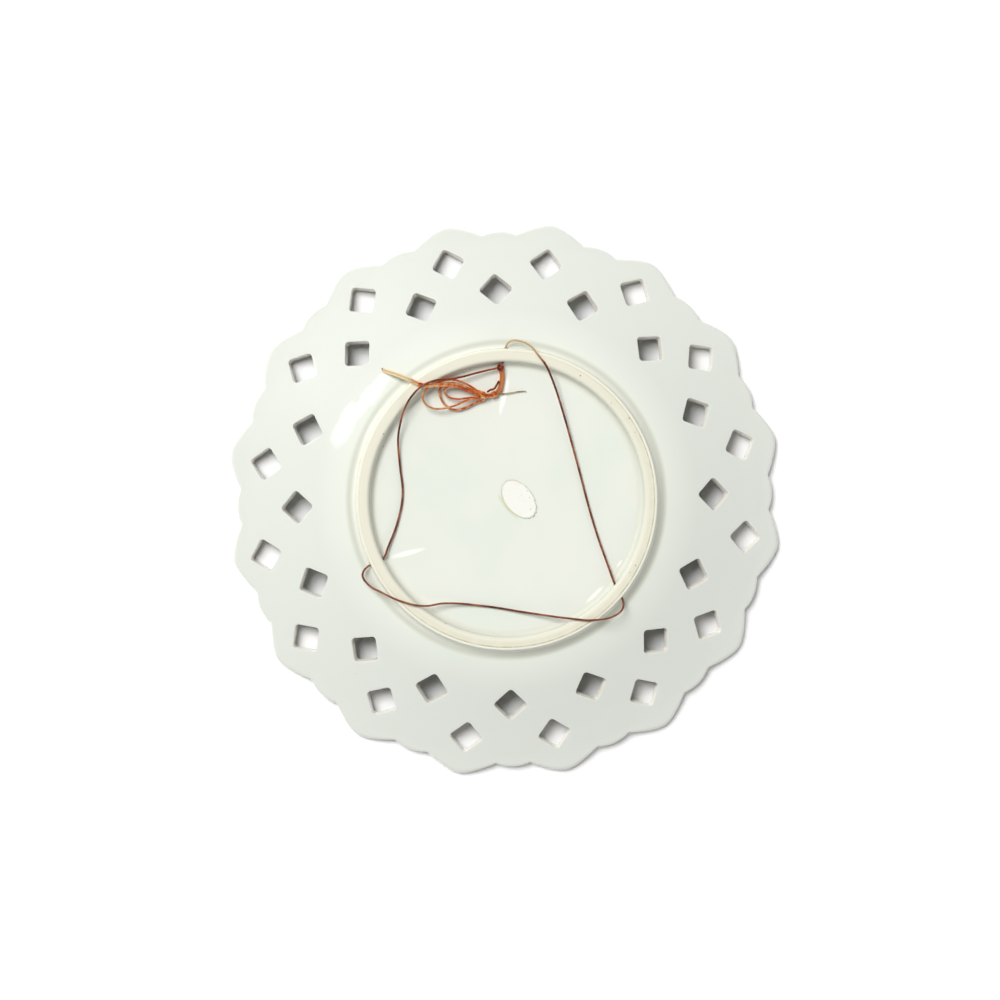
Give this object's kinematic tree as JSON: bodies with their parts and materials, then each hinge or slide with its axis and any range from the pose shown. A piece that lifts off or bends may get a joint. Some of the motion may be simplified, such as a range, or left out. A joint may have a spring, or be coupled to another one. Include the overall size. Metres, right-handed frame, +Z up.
{
  "type": "pierced decorative plate",
  "caption": "Round white glazed plate with a scalloped, square-pierced rim, lying face down, with a thin hanging wire threaded through its foot ring.",
  "frame": {"origin": "centre of the plate, on the surface that its rim lies on when it is face down", "axes": "+Z up, out of the plate's back; +Y towards the upper wire hole, which is the top when the plate hangs; +X to the right seen from the back"},
  "size_m": [0.2366, 0.2366, 0.0266],
  "materials": {
    "white_glaze": "glossy, slightly green white glaze over a cream body",
    "paper": "matt, worn",
    "copper_wire": "drawn, copper-coloured, slightly tarnished"
  },
  "bodies": {
    "root": {"plate": "white_glaze", "oval_sticker": "paper", "hanging_wire": "copper_wire", "upper_knot": "copper_wire", "wire_pair": "copper_wire", "lower_knot": "copper_wire", "short_end": "copper_wire", "wire_hank": "copper_wire", "long_end": "copper_wire"}
  },
  "joints": []
}
